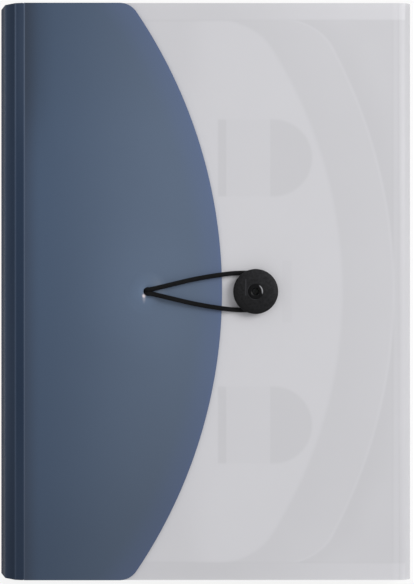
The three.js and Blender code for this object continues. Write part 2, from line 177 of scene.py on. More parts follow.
def weighted(masks, strengths, start):
    """A start and the sum of the masks, each times the strength of its name."""
    total = start
    for name, mask in masks.items():
        total = total + mask * strengths[name]
    return total


class Tree:
    """The node tree of a material or of the world."""

    IS_CAMERA, IS_GLOSSY, IS_TRANSMISSION = 0, 3, 6     # places on the Light Path node

    def __init__(self, owner):
        self.owner = owner
        self.owner.use_nodes = True
        self.nodes = self.owner.node_tree.nodes
        self.links = self.owner.node_tree.links
        self.nodes.clear()

    def node(self, kind, settings=None, inputs=None):
        """Any node: settings go on first, then values or links; returns its sockets by place."""
        made = self.nodes.new(kind)
        for key, value in (settings or {}).items():
            setattr(made, key, value)
        for key, value in (inputs or {}).items():
            if isinstance(value, Sock):
                self.links.new(value.socket, made.inputs[key])
            else:
                made.inputs[key].default_value = value
        return [Sock(self, out) for out in made.outputs]

    def math(self, operation, *values):
        return self.node("ShaderNodeMath", {"operation": operation}, dict(enumerate(values)))[0]

    def object_place(self):
        return self.node("ShaderNodeTexCoord")[3]

    def millimetres(self, place):
        """X from the mouth side, Y from the middle and Z from the underside, in millimetres."""
        moved = self.node("ShaderNodeVectorMath", {"operation": "SUBTRACT"},
                          {0: place, 1: (MOUTH_X, 0.0, 0.0)})[0]
        scaled = self.node("ShaderNodeVectorMath", {"operation": "SCALE"},
                           {0: moved, "Scale": 1 / MM})[0]
        return self.node("ShaderNodeSeparateXYZ", {}, {0: scaled})

    def noise(self, vector, scale, detail=2.0, roughness=0.5):
        inputs = {"Vector": vector, "Scale": scale, "Detail": detail, "Roughness": roughness}
        return self.node("ShaderNodeTexNoise", {}, inputs)[0]

    def mix(self, factor, first, second, blend="MIX"):
        """Two colours mixed; the Mix node keeps its colour sockets at places 6 and 7."""
        return self.node("ShaderNodeMix", {"data_type": "RGBA", "blend_type": blend},
                         {0: factor, 6: first, 7: second})[2]

    def tint(self, colour, tone):
        """A colour made lighter or darker by a tone near 1."""
        grey = self.node("ShaderNodeCombineXYZ", {}, {0: tone, 1: tone, 2: tone})[0]
        return self.mix(1.0, colour, grey, "MULTIPLY")

    def seen_white(self):
        """1 for a ray that comes from the camera, a gloss or a clear sheet, else 0."""
        paths = self.node("ShaderNodeLightPath")
        seen = paths[self.IS_CAMERA].max(paths[self.IS_GLOSSY])
        return seen.max(paths[self.IS_TRANSMISSION])

    def bump(self, height, strength, distance, normal=None):
        """A normal that leans with the height; it adds to an earlier one if that is given."""
        inputs = {"Height": height, "Strength": strength, "Distance": distance}
        if normal is not None:
            inputs["Normal"] = normal
        return self.node("ShaderNodeBump", {}, inputs)[0]

    def shade(self, **inputs):
        """The surface shader; words with underscores stand for the sockets' names."""
        named = {key.replace("_", " "): value for key, value in inputs.items()}
        shader = self.node("ShaderNodeBsdfPrincipled", {}, named)[0]
        self.node("ShaderNodeOutputMaterial", {}, {"Surface": shader})
        return self.owner


def material_tree(name):
    return Tree(bpy.data.materials.new(name))


# Frosted sheet. Places are in millimetres, along from the mouth side and across from the
# middle. Where a name holds two places, its mask is 0 at the first and 1 at the second.

PANEL_RISE = (-1.2, -0.9)           # from the panel's level: only the front shows tones
LINE_HALF = 157                     # weld lines of the pockets, across
LINE_CORE = 0.2                     # half the width that has a weld line's full tone
MARGIN_SOFT = 1.2                   # softness of the margins outside the weld lines
BOTTOM_LINE = 229.3                 # weld line at the bottom, along
BOTTOM_BAND_RISE = (228.3, 230.8)   # the margin past it
WIDE_ARC = (-68.4, 297.6)           # centre and radius of a liner's free edge
NARROW_ARC = (-62.2, 262.2)
ARC_CORNER = 15                     # rounding where an arc meets the weld lines
TONGUE_OFFSET = 77.3                # middle of a tongue, across
TONGUE_HALF = 22.25                 # half its width, and the radius of its tip
TONGUE_START = (128.2, 129.0)
TONGUE_FOLD_MIDDLE = 130.5                # middle of the painted shade strip at the fold of its root
TONGUE_SLIT = 158.4                 # slot in the narrow liner that it is threaded through
TONGUE_TIP = 182.6
CENTRE_STRIP = 168.1                # slot in the narrow liner beside the button
CENTRE_STRIP_END = (18.4, 17.4)
FOLD_TURN = (231, 239)              # where the front panel turns into the bottom fold
ALONG_RISE = (120, 228)
UPPER_RISE = (-20, 20)
CORNER_SHADE = ((80, 140), (128, 104))      # across and along, beside the flap's corners
FAR_SHADE = ((50, 110), (190, 212))         # the same before the fold's corners

# What each thing that shows through adds to the sheet's tone, with painted shadows, painted
# shade and a painted highlight among them
SHOWS_THROUGH_AND_PAINTED_LIGHT = {
    "narrow_sheet": 0.030,
    # painted shadow past the narrow liner, painted highlight on the wide liner's edge, painted
    # shadow past it
    "narrow_shadow": -0.030,
    "wide_edge_highlight": 0.024,
    "wide_shadow": -0.036,
    "side_line": -0.025,
    "bottom_line": -0.020,
    "bottom_band": 0.03,
    # painted shade: the tongue's fold, its root and, deepest, its tip past the slot
    "tongue_fold_shade": -0.055,
    "tongue_root": -0.018,
    "tongue_tip": -0.068,
    "centre_strip": -0.022,
    # painted shade beside the flap's corners and before the fold's corners
    "corner_shade": -0.05,
    "far_shade": -0.018,
}
SIDE_TONE = -0.06                   # the margins outside the weld lines
# painted light: the margins are lighter towards the fold and the upper side, where the key
# lamp's light falls
SIDE_PAINTED_LIGHT_ALONG = 0.09
SIDE_PAINTED_LIGHT_UPPER = 0.045
MOTTLING = 0.03
FOLD_PAINTED_SHADE = 0.12                    # painted shade: how much darker the bottom fold is painted at its middle, against the key lamp's light on its rounding
FOLD_PAINTED_SHADE_ACROSS = 0.34 * MM        # and more a millimetre across


def tongue_masks(x, across):
    """Painted shade of a tongue: a dark strip at the fold of its root, fainter where its root
    lies above the narrow liner, deeper where its tip lies past the slot.
    """
    offset = (across - TONGUE_OFFSET).abs()
    in_width = offset.up_to(TONGUE_HALF, soft=0.8)
    strip = in_width * x.band(TONGUE_FOLD_MIDDLE, half=2.0, soft=0.9)
    root = in_width * x.step(*TONGUE_START) * x.up_to(TONGUE_SLIT, soft=0.5)
    tip_run = (x - (TONGUE_TIP - TONGUE_HALF)).max(0.0)
    tip = distance(tip_run, offset).up_to(TONGUE_HALF, soft=1.1)
    tip = tip * (1.0 - x.up_to(TONGUE_SLIT, soft=0.4))
    return {"tongue_fold_shade": strip, "tongue_root": root, "tongue_tip": tip}


def liner_masks(x, y, inside):
    """The narrow liner, a painted highlight along the wide one's edge, and a painted shadow on
    the film past each.
    """
    across = y.abs()

    def past_edge(arc):
        """How far a place is past the curved end of a liner with rounded corners."""
        centre, radius = arc
        past_arc = (distance(x - centre, y) - (radius - ARC_CORNER)).max(0.0)
        past_side = (across - (LINE_HALF - ARC_CORNER)).max(0.0)
        return distance(past_arc, past_side) - ARC_CORNER

    wide = past_edge(WIDE_ARC)
    narrow = past_edge(NARROW_ARC)
    return {
        "narrow_sheet": narrow.step(1.4, -1.8) * inside,
        "narrow_shadow": narrow.hump(low=-0.8, top=1.6, high=40) * inside,
        "wide_edge_highlight": wide.band(middle=0.3, half=0.3, soft=0.8) * inside,
        "wide_shadow": wide.hump(low=0.6, top=2.0, high=20) * inside,
    }


def frosted_material(settings):
    """Frosted sheet whose inner sheets, welds and tongues show through as faint tones, among
    painted shadows, painted shade and painted light.
    """
    tree = material_tree("frosted_sheet")
    place = tree.object_place()
    x, y, z = tree.millimetres(place)
    front = (z - PANEL_LEVEL).step(*PANEL_RISE)
    across = y.abs()
    inside = across.up_to(LINE_HALF, soft=0.3)

    def shade(ramps):
        return across.step(*ramps[0]) * x.step(*ramps[1]) * inside

    strip = x.band(CENTRE_STRIP, half=2.3, soft=1.0)
    masks = {
        **liner_masks(x, y, inside),
        **tongue_masks(x, across),
        "side_line": across.band(LINE_HALF, LINE_CORE, soft=0.9),
        "bottom_line": x.band(BOTTOM_LINE, LINE_CORE, soft=0.8) * inside,
        "bottom_band": x.step(*BOTTOM_BAND_RISE),
        "centre_strip": strip * across.step(*CENTRE_STRIP_END),
        "corner_shade": shade(CORNER_SHADE),
        "far_shade": shade(FAR_SHADE),
    }
    margin = 1.0 - across.up_to(LINE_HALF, MARGIN_SOFT)
    # Painted light on the margins, lighter towards the fold and the upper side
    side = x.step(*ALONG_RISE) * SIDE_PAINTED_LIGHT_ALONG + y.step(*UPPER_RISE) * SIDE_PAINTED_LIGHT_UPPER
    faint = weighted(masks, SHOWS_THROUGH_AND_PAINTED_LIGHT, start=margin * (side + SIDE_TONE))

    tone = 1.0 + (tree.noise(place, scale=26, detail=3) - 0.5) * MOTTLING
    # The faint tones on the front, then painted shade on the bottom fold, deeper towards its
    # upper side
    tone = tone + faint * front - x.step(*FOLD_TURN) * (y * FOLD_PAINTED_SHADE_ACROSS + FOLD_PAINTED_SHADE)
    colour = tree.tint(opaque(settings.cover_colour), tone)
    ripple = tree.noise(place, scale=9, detail=1)
    grain = tree.noise(place, scale=900, roughness=0.6)
    normal = tree.bump(ripple, strength=0.35, distance=1.2 * MM)
    normal = tree.bump(grain, strength=0.12, distance=0.1 * MM, normal=normal)
    rough = 0.46 + (tree.noise(place, scale=120) - 0.5) * 0.12
    return tree.shade(Base_Color=colour, Roughness=rough, Alpha=settings.cover_alpha,
                      Normal=normal, Specular_IOR_Level=0.3)


# Pocket film

FILM_DARK = scene_colour(216, 216, 219)
FILM_PALE = scene_colour(228, 228, 230)


def film_material(settings):
    """Thin film of the pockets and pleats."""
    tree = material_tree("pocket_film")
    place = tree.object_place()
    cloud = tree.noise(place, scale=40, detail=3)
    colour = tree.mix(cloud, FILM_DARK, FILM_PALE)
    normal = tree.bump(tree.noise(place, scale=700), strength=0.12, distance=0.1 * MM)
    return tree.shade(Base_Color=colour, Roughness=0.38 + cloud * 0.12,
                      Alpha=settings.film_alpha, Normal=normal)


# Blue sheet, in millimetres as above; heights are from the underside

FLAP_ARC = (-158.5, 289.0)          # centre and radius of the flap's free edge
FLAP_START = (15, 26)               # the colour turns from the spine's, darker as painted shade, to the flap's
FLAP_REACH = (6, 106)               # and to the paler one at the free edge, which is painted light
RIM_WIDE = (18, 1)                  # inwards from the free edge, with its share
RIM_WIDE_SHARE = 0.45
RIM_NARROW = (3, 0.3)
RIM_NARROW_SHARE = 0.25
RIM_LEVEL = (0, 0.4)                # over the front panel, where the flap lies
FRONT_SCORE, MIDDLE_SCORE, REAR_SCORE = 16.1, 10.8, 4.5
FRONT_FACET = 13.3                  # middle of the spine's facet next to the flap
FRONT_FACET_RISE = (20, 24)         # heights from which the front facet and its score show
REAR_SCORE_RISE = (15, 18)
REAR_FACETS_RISE = (14, 17)
REAR_FACETS_END = (11, 10.6)
REAR_EDGE = (9, REAR_SCORE)
FAR_UP = (60, 150)
FAR_DOWN = (40, -60)
FACET_ENDS = (50, 150)
FRONT_FACET_ALONG = (11, 15)
# Painted sheen: how much of the pale colour veils the spine's facets, standing for their
# reflection
REAR_PAINTED_SHEEN, REAR_PAINTED_SHEEN_EDGE, REAR_PAINTED_SHEEN_UP, REAR_PAINTED_SHEEN_DOWN = 0.06, 0.18, 0.05, 0.10
FRONT_PAINTED_SHEEN_ENDS, FRONT_PAINTED_SHEEN_UP = 0.14, 0.11
SCORE_SHARE, SCORE_SHARE_UP = 0.30, 0.25
SCORE_AND_SHEEN_PALE = scene_colour(100, 113, 134)
DIMPLE = (12, 7)                    # round the hole, with the raised ring inside it
DIMPLE_RING = (2.2, 4)
GLINT_PLACE = (-2.2, -2.5)          # middle of the painted highlight glint, from the hole's middle
GLINT_RISE = (1.5, 0.1)
GLINT_SHARE = 0.9
STREAK_RISE = (2.4, 0.2)
STREAK_LEAN = 0.8                   # how far the painted highlight streak's middle is under the glint's
STREAK_SQUEEZE = (1.7, 0.55)        # along and across
STREAK_SHARE = 0.22
GLINT_PALE = scene_colour(252, 240, 244)
FLAP_GLOSS = 0.3
SPINE_GLOSS = 0.006

# What each part of the look adds to the sheet's tone: cloud and grain at random, the rest
# painted shade and painted light
BLUE_TONES = {
    "cloud": 0.10,
    "grain": 0.12,
    # painted shade: darker towards both ends and towards the low side
    "ends": -0.10,
    "low_side_shade": -0.20,
    "dimple_light_and_shade": -0.14 / 8,            # painted light and shade round the raised ring: lighter on the mouth side, darker on the fold side, per millimetre ahead of the hole's middle
    # painted light: a glow round the glint and a broad halo round the hole
    "glow": 0.26,
    "hole_halo_light": 0.10,
    # painted shade: darker at the top corner by the spine and low towards the free edge
    "top_corner_shade": -0.28,
    "low_reach_shade": -0.05,
}


def sheet_colour(tree, settings, x, y, z):
    """The sheet's colour: deep at the spine as painted shade, paler to the free edge as painted
    light, bluer at its rim.
    """
    spine, flap = opaque(settings.spine_shaded_colour), opaque(settings.flap_colour)
    colour = tree.mix(x.step(*FLAP_START), spine, flap)
    colour = tree.mix(x.step(*FLAP_REACH), colour, opaque(settings.edge_lit_colour))
    centre, radius = FLAP_ARC
    inset = radius - distance(x - centre, y)
    rim = inset.step(*RIM_WIDE) * RIM_WIDE_SHARE + inset.step(*RIM_NARROW) * RIM_NARROW_SHARE
    rim = rim * (z - PANEL_LEVEL).step(*RIM_LEVEL)
    return tree.mix(rim, colour, opaque(settings.rim_colour))


def scored_colour(tree, colour, x, y, z):
    """The colour with painted sheen, paler veils standing for reflection over the spine's
    facets, and the pale scores.
    """
    far_up = y.step(*FAR_UP)
    rear_sheen = x.step(*REAR_EDGE) * REAR_PAINTED_SHEEN_EDGE + far_up * REAR_PAINTED_SHEEN_UP
    rear_sheen = rear_sheen + y.step(*FAR_DOWN) * REAR_PAINTED_SHEEN_DOWN + REAR_PAINTED_SHEEN
    rear_sheen = rear_sheen * z.step(*REAR_FACETS_RISE) * x.step(*REAR_FACETS_END)
    front = far_up * x.step(*FRONT_FACET_ALONG) * FRONT_PAINTED_SHEEN_UP
    front = front + y.abs().step(*FACET_ENDS) * FRONT_PAINTED_SHEEN_ENDS
    front = front * x.band(FRONT_FACET, half=2.3, soft=0.4) * z.step(*FRONT_FACET_RISE)
    # Painted sheen on the facets
    colour = tree.mix(rear_sheen + front, colour, SCORE_AND_SHEEN_PALE)
    scores = x.band(FRONT_SCORE, half=0.2, soft=0.4)
    middle = x.band(MIDDLE_SCORE, half=0.25, soft=0.5) * z.step(*FRONT_FACET_RISE)
    last = x.band(REAR_SCORE, half=0.2, soft=0.4) * z.step(*REAR_SCORE_RISE)
    scores = scores.max(middle).max(last)
    return tree.mix(scores * (far_up * SCORE_SHARE_UP + SCORE_SHARE), colour, SCORE_AND_SHEEN_PALE)


def blue_material(settings, name, gloss):
    """Slate blue sheet with a fine satin grain, paler scores, painted shade and light on the
    flap, and a painted highlight glint at the hole.
    """
    tree = material_tree(name)
    place = tree.object_place()
    x, y, z = tree.millimetres(place)
    cloud = tree.noise(place, scale=14, detail=3)
    grain = tree.noise(place, scale=1400, roughness=0.65)
    colour = sheet_colour(tree, settings, x, y, z)
    colour = scored_colour(tree, colour, x, y, z)

    ahead = x - HOLE_PLACE
    ring = distance(ahead, y)
    glint_x = ahead - GLINT_PLACE[0]
    glint_y = y - GLINT_PLACE[1]
    spread = distance(glint_x, glint_y)
    masks = {
        "cloud": cloud - 0.5,
        "grain": grain - 0.5,
        # painted shade and painted light from here on
        "ends": y.abs().step(80, 167),
        "low_side_shade": y.step(60, -150),
        "dimple_light_and_shade": ring.step(*DIMPLE) * ring.step(*DIMPLE_RING) * ahead,
        "glow": spread.step(12, 0.5),
        "hole_halo_light": ring.step(50, 8),
        "top_corner_shade": y.step(70, 120) * x.step(36, 15) * x.step(16.2, 16.7),
        "low_reach_shade": y.step(-40, -110) * x.step(60, 100),
    }
    colour = tree.tint(colour, weighted(masks, BLUE_TONES, start=1.0))

    # Painted highlight: the glint at the hole and a streak below it
    streak_x = glint_x * STREAK_SQUEEZE[0]
    streak_y = (glint_y + STREAK_LEAN) * STREAK_SQUEEZE[1]
    streak = distance(streak_x, streak_y).step(*STREAK_RISE)
    shine = spread.step(*GLINT_RISE) * GLINT_SHARE + streak * STREAK_SHARE
    colour = tree.mix(shine, colour, GLINT_PALE)

    ripple = tree.noise(place, scale=7, detail=1)
    normal = tree.bump(ripple, strength=0.3, distance=1.5 * MM)
    normal = tree.bump(grain, strength=0.16, distance=0.12 * MM, normal=normal)
    return tree.shade(Base_Color=colour, Roughness=0.42 + (cloud - 0.5) * 0.1, Normal=normal,
                      Specular_IOR_Level=gloss)


# Button, rivet and elastic

CAP_DARK = scene_colour(16, 16, 17)
CAP_PALE = scene_colour(36, 36, 38)
CAP_LINE_AND_HIGHLIGHT = scene_colour(74, 74, 78)
CAP_RADIUS = 13
CAP_SHEEN = 0.4                     # painted sheen: how much paler the cap is painted at its upper edge
CAP_SHEEN_AHEAD = 0.6               # the share of that at its edge towards the fold
SPECKLE_RISE = (0.3, 0.7)
MOULD_LINE = -5.7                   # from the button's middle, along
MOULD_LINE_LOW = (-2.6, -2.0)       # its ends, across
MOULD_LINE_HIGH = (7.4, 6.8)
MOULD_LINE_SHARE = 0.8
CAP_EDGE = 4.7                      # radius of the rounding at the cap's well
CAP_EDGE_RISE = (0.5, -4)           # only its side towards the mouth gets the painted highlight
CAP_EDGE_LEAN = 0.5                 # and more of it below than above
CAP_EDGE_HIGHLIGHT_SHARE = 0.35
RIVET_DARK = scene_colour(6, 6, 7)
RIVET_PALE = scene_colour(14, 14, 16)
# Painted highlight: a pale crescent on the rivet's rim towards the fold and the upper side
RIVET_SHINE = scene_colour(214, 214, 218)
SHINE_RADIUS = 3.8
SHINE_WAY = (0.94, 0.34)            # the way that the shine lies from the middle
SHINE_RISE = (2.7, 3.6)
SHINE_SHARE = 0.42
ELASTIC_DARK = scene_colour(2, 2, 3)
ELASTIC_PALE = scene_colour(14, 14, 16)
BRAID_ROUND = 6.0                   # threads of the braid round the cord
BRAID_ALONG = 130.0                 # and along the whole of it


def cap_material():
    """Moulded black plastic with a spark-eroded grain, a faint moulding line, a painted sheen
    and a painted highlight on its well's rounding.
    """
    tree = material_tree("button_plastic")
    place = tree.object_place()
    x, y, _ = tree.millimetres(place)
    ahead = x - BUTTON_PLACE
    grain = tree.noise(place, scale=1500, detail=3, roughness=0.6)
    speckle = (grain + tree.noise(place, scale=700)) * 0.5
    colour = tree.mix(speckle.step(*SPECKLE_RISE), CAP_DARK, CAP_PALE)
    # Painted sheen, paler towards the upper edge and the fold
    tilt = ahead * CAP_SHEEN_AHEAD + y
    colour = tree.tint(colour, 1.0 + tilt * (CAP_SHEEN / CAP_RADIUS))
    line = ahead.band(MOULD_LINE, half=0.05, soft=0.2)
    line = line * y.step(*MOULD_LINE_LOW) * y.step(*MOULD_LINE_HIGH)
    # Painted highlight on the rounding at the well, on its side towards the mouth
    edge = distance(ahead, y).band(CAP_EDGE, half=0.1, soft=0.35)
    edge = edge * (ahead + y * CAP_EDGE_LEAN).step(*CAP_EDGE_RISE)
    colour = tree.mix(line * MOULD_LINE_SHARE + edge * CAP_EDGE_HIGHLIGHT_SHARE, colour, CAP_LINE_AND_HIGHLIGHT)
    normal = tree.bump(grain, strength=0.35, distance=0.1 * MM)
    return tree.shade(Base_Color=colour, Roughness=0.45 + grain * 0.2, Normal=normal,
                      Specular_IOR_Level=0.1)


def rivet_material():
    """Black lacquered rivet with a painted highlight, a crescent on its rim towards the fold."""
    tree = material_tree("rivet_lacquer")
    place = tree.object_place()
    x, y, _ = tree.millimetres(place)
    ahead = x - BUTTON_PLACE
    cloud = tree.noise(place, scale=400)
    colour = tree.mix(cloud, RIVET_DARK, RIVET_PALE)
    # Painted highlight crescent
    shine = distance(ahead, y).band(SHINE_RADIUS, half=0.15, soft=0.35)
    shine = shine * (ahead * SHINE_WAY[0] + y * SHINE_WAY[1]).step(*SHINE_RISE)
    colour = tree.mix(shine * SHINE_SHARE, colour, RIVET_SHINE)
    return tree.shade(Base_Color=colour, Roughness=0.10 + cloud * 0.06,
                      Specular_IOR_Level=0.08)


def elastic_material():
    """Round elastic with a fine braid that follows the cord."""
    tree = material_tree("elastic_braid")
    along = tree.node("ShaderNodeUVMap", {"uv_map": "UVMap"})[0]
    turn, run, _ = tree.node("ShaderNodeSeparateXYZ", {}, {0: along})
    one = ((turn * BRAID_ROUND + run * BRAID_ALONG) * math.tau).sine()
    two = ((turn * BRAID_ROUND - run * BRAID_ALONG) * math.tau).sine()
    braid = one.max(two)
    colour = tree.mix(braid * 0.5 + 0.5, ELASTIC_DARK, ELASTIC_PALE)
    normal = tree.bump(braid, strength=0.6, distance=0.25 * MM)
    return tree.shade(Base_Color=colour, Roughness=0.75, Normal=normal, Specular_IOR_Level=0.15)


# Mesh helpers

MERGE_REACH = 0.002 * MM            # corners of the CAD mesh this close are one
FLAT_ANGLE = math.radians(0.4)      # faces that turn less than this are one
FLAT_AREA = 300 * MM * MM           # a face this large is flat and keeps its own normal
HOLE_RADIUS = 2.5 * MM              # rim of the flap's hole, drawn close by the strands
HOLE_REACH = 3.4 * MM               # the rim's points lie within this of the hole's middle


def finish_piece(name, mesh, material, body, replaced=()):
    """Links a mesh as a piece that rides on a body and stands for CAD nodes."""
    piece = bpy.data.objects.new(name, mesh)
    bpy.context.scene.collection.objects.link(piece)
    mesh.materials.clear()
    mesh.materials.append(material)
    if body:
        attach(piece, body)
    if replaced:
        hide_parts(*replaced)
    return piece


def narrow_hole(work):
    """Draws the rim of the flap's hole close round the strands, as their pull does."""
    for vert in work.verts:
        offset = Vector((vert.co.x - HOLE_X, vert.co.y, 0))
        if offset.length < HOLE_REACH:
            vert.co -= offset.normalized() * (offset.length - HOLE_RADIUS)


def smooth_copy(node, name, material, body, angle, bevel=0.0):
    """A merged, smooth-shaded copy of a CAD node; edges past the angle are bevelled."""
    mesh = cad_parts[node].data.copy()
    mesh.name = name
    work = bmesh.new()
    work.from_mesh(mesh)
    bmesh.ops.remove_doubles(work, verts=work.verts, dist=MERGE_REACH)
    if node == "closing_flap":
        narrow_hole(work)
    bmesh.ops.dissolve_limit(work, angle_limit=FLAT_ANGLE, verts=work.verts, edges=work.edges)
    limit = math.radians(angle)
    if bevel:
        sharp = [e for e in work.edges if e.is_manifold and e.calc_face_angle(0) > limit]
        bmesh.ops.bevel(work, geom=sharp, offset=bevel, segments=2, profile=0.5,
                        affect="EDGES", material=-1, clamp_overlap=True)
    for face in work.faces:
        face.smooth = face.calc_area() < FLAT_AREA
    for edge in work.edges:
        edge.smooth = not (edge.is_manifold and edge.calc_face_angle(0) > limit)
    work.to_mesh(mesh)
    work.free()
    return finish_piece(name, mesh, material, body, (node,))


def dress(node, material):
    """Gives a CAD node its finish."""
    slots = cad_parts[node].data.materials
    slots.clear()
    slots.append(material)


# Sizes and colours that a user would change

class FileColours(bpy.types.PropertyGroup):
    cover_colour: bpy.props.FloatVectorProperty(
        name="Cover", description="Colour of the frosted sheet", subtype="COLOR", size=3,
        min=0, max=1, default=scene_colour(223, 222, 225)[:3])
    cover_alpha: bpy.props.FloatProperty(
        name="Cover cover", description="How much the frosted sheet hides what is behind it",
        subtype="FACTOR", min=0, max=1, default=0.80)
    film_alpha: bpy.props.FloatProperty(
        name="Film cover", description="How much the pocket film hides what is behind it",
        subtype="FACTOR", min=0, max=1, default=0.72)
    # Painted shade: the spine's colour is darkened for facets that face away from the key lamp
    spine_shaded_colour: bpy.props.FloatVectorProperty(
        name="Spine", description="Colour of the blue sheet at the spine", subtype="COLOR",
        size=3, min=0, max=1, default=scene_colour(51, 64, 84)[:3])
    flap_colour: bpy.props.FloatVectorProperty(
        name="Flap", description="Colour of the blue sheet past the front score",
        subtype="COLOR", size=3, min=0, max=1, default=scene_colour(62, 80, 104)[:3])
    # Painted light: the flap's colour grows paler towards its free edge
    edge_lit_colour: bpy.props.FloatVectorProperty(
        name="Flap's reach", description="Colour of the blue sheet towards the free edge",
        subtype="COLOR", size=3, min=0, max=1, default=scene_colour(88, 103, 124)[:3])
    rim_colour: bpy.props.FloatVectorProperty(
        name="Flap's rim", description="Colour of the last millimetres at the free edge",
        subtype="COLOR", size=3, min=0, max=1, default=scene_colour(90, 106, 142)[:3])


class FileStudio(bpy.types.PropertyGroup):
    camera_height: bpy.props.FloatProperty(
        name="Camera height", description="From the front panel up to the camera",
        unit="LENGTH", min=0.3, max=5, default=1.2)
    pixel_size: bpy.props.FloatProperty(
        name="Pixel size", description="Width of one pixel of the picture on the front panel",
        unit="LENGTH", min=0.0001, max=0.01, default=0.5789 * MM)
    camera_offset: bpy.props.FloatProperty(
        name="Camera offset", description="Camera's place along X from the file's middle",
        unit="LENGTH", min=-0.1, max=0.1, default=1.8 * MM)
    key_power: bpy.props.FloatProperty(
        name="Key light", description="Power of the large lamp at the fold's side",
        unit="POWER", min=0, max=500, default=31.0)
    glint_power: bpy.props.FloatProperty(
        name="Glint", description="Power of the small lamp beside it", unit="POWER",
        min=0, max=500, default=5.0)
    world_strength: bpy.props.FloatProperty(
        name="Sky", description="Strength of the even light from all round", min=0, max=5,
        default=0.55)


class ElasticSizes(bpy.types.PropertyGroup):
    cord_radius: bpy.props.FloatProperty(
        name="Cord radius", description="Radius of the elastic", unit="LENGTH",
        min=0.0005, max=0.004, default=1.34 * MM)
    spread_at_hole: bpy.props.FloatProperty(
        name="Spread", description="Half the distance between the strands at the flap's hole",
        unit="LENGTH", min=0.0002, max=0.005, default=1.05 * MM)


# Operators

class FILE_OT_cover(bpy.types.Operator):
    """Finishes the frosted cover sheet"""
    bl_idname = "expfile.cover"
    bl_label = "Frosted cover"

    def execute(self, context):
        material = frosted_material(context.scene.file_colours)
        smooth_copy("cover_shell", "cover_sheet", material, "root",
                    angle=40, bevel=0.12 * MM)
        return {"FINISHED"}


class FILE_OT_pockets(bpy.types.Operator):
    """Finishes the dividers, pleats, liners and tongues"""
    bl_idname = "expfile.pockets"
    bl_label = "Pockets and pleats"

    def execute(self, context):
        material = film_material(context.scene.file_colours)
        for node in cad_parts:
            if node.startswith(("divider", "gusset", "liner", "tongue")):
                dress(node, material)
        return {"FINISHED"}


class FILE_OT_blue(bpy.types.Operator):
    """Finishes the blue hem, the scored spine and the flap"""
    bl_idname = "expfile.blue"
    bl_label = "Blue sheet"

    # In millimetres from the low corner of the flap or of the spine, along and up: the
    # web's section, and a line across the score
    WEBS = {
        "front_score": (
            ((-1.3, 0.42), (-0.2, 0.74), (0.7, 0.80), (0.7, 0.4), (-0.1, 0.36), (-1.2, 0.05)),
            ((-1.0, 0.4), (0.3, 0.4)),
        ),
        "rear_score": (
            ((0.05, 1.2), (0.02, 0.05), (1.4, 0.02), (1.4, 0.35), (0.5, 0.45), (0.4, 1.2)),
            ((0.3, 0.6), (1.1, 0.3)),
        ),
    }
    WEB_END_GAP = 0.2 * MM

    def execute(self, context):
        colours = context.scene.file_colours
        satin = blue_material(colours, "blue_flap", FLAP_GLOSS)
        matt = blue_material(colours, "blue_spine", SPINE_GLOSS)
        smooth_copy("flap_hem", "hem_sheet", matt, "root",
                    angle=30, bevel=0.1 * MM)
        smooth_copy("spine_strip", "spine_sheet", matt, "spine",
                    angle=60, bevel=0.1 * MM)
        smooth_copy("closing_flap", "flap_sheet", satin, "flap",
                    angle=40, bevel=0.16 * MM)
        self.web("front_score", matt, "spine", "flap", FLAP_LOW)
        self.web("rear_score", matt, "spine", "root", SPINE_LOW)
        return {"FINISHED"}

    def web(self, name, material, first, second, corner):
        """The thin web that is left in a score, across the gap between two pieces."""
        section, turn = self.WEBS[name]
        half = CAD_BOX[1].y - self.WEB_END_GAP

        def place(along, up, y=0.0):
            return Vector((corner.x + along * MM, y, corner.z + up * MM))

        work = bmesh.new()
        face = work.faces.new([work.verts.new(place(*point, -half)) for point in section])
        grown = bmesh.ops.extrude_face_region(work, geom=[face])
        moved = [item for item in grown["geom"] if isinstance(item, bmesh.types.BMVert)]
        bmesh.ops.translate(work, verts=moved, vec=(0, 2 * half, 0))
        bmesh.ops.recalc_face_normals(work, faces=work.faces)
        mesh = bpy.data.meshes.new(name)
        work.to_mesh(mesh)
        work.free()
        piece = finish_piece(name, mesh, material, None)
        start, end = (place(*point) for point in turn)
        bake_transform(piece)


class FILE_OT_button(bpy.types.Operator):
    """Finishes the button, its collar, its rivet, the washer behind and the loop's anchor"""
    bl_idname = "expfile.button"
    bl_label = "Button"

    def execute(self, context):
        plastic = cap_material()
        lacquer = rivet_material()
        smooth_copy("button_cap", "cap_disc", plastic, "root", angle=60)
        smooth_copy("button_collar", "collar_ring", plastic, "root",
                    angle=50, bevel=0.15 * MM)
        smooth_copy("button_rivet", "hollow_rivet", lacquer, "root", angle=60)
        smooth_copy("loop_anchor", "anchor_disc", plastic, "flap", angle=60)
        dress("button_washer", lacquer)
        return {"FINISHED"}


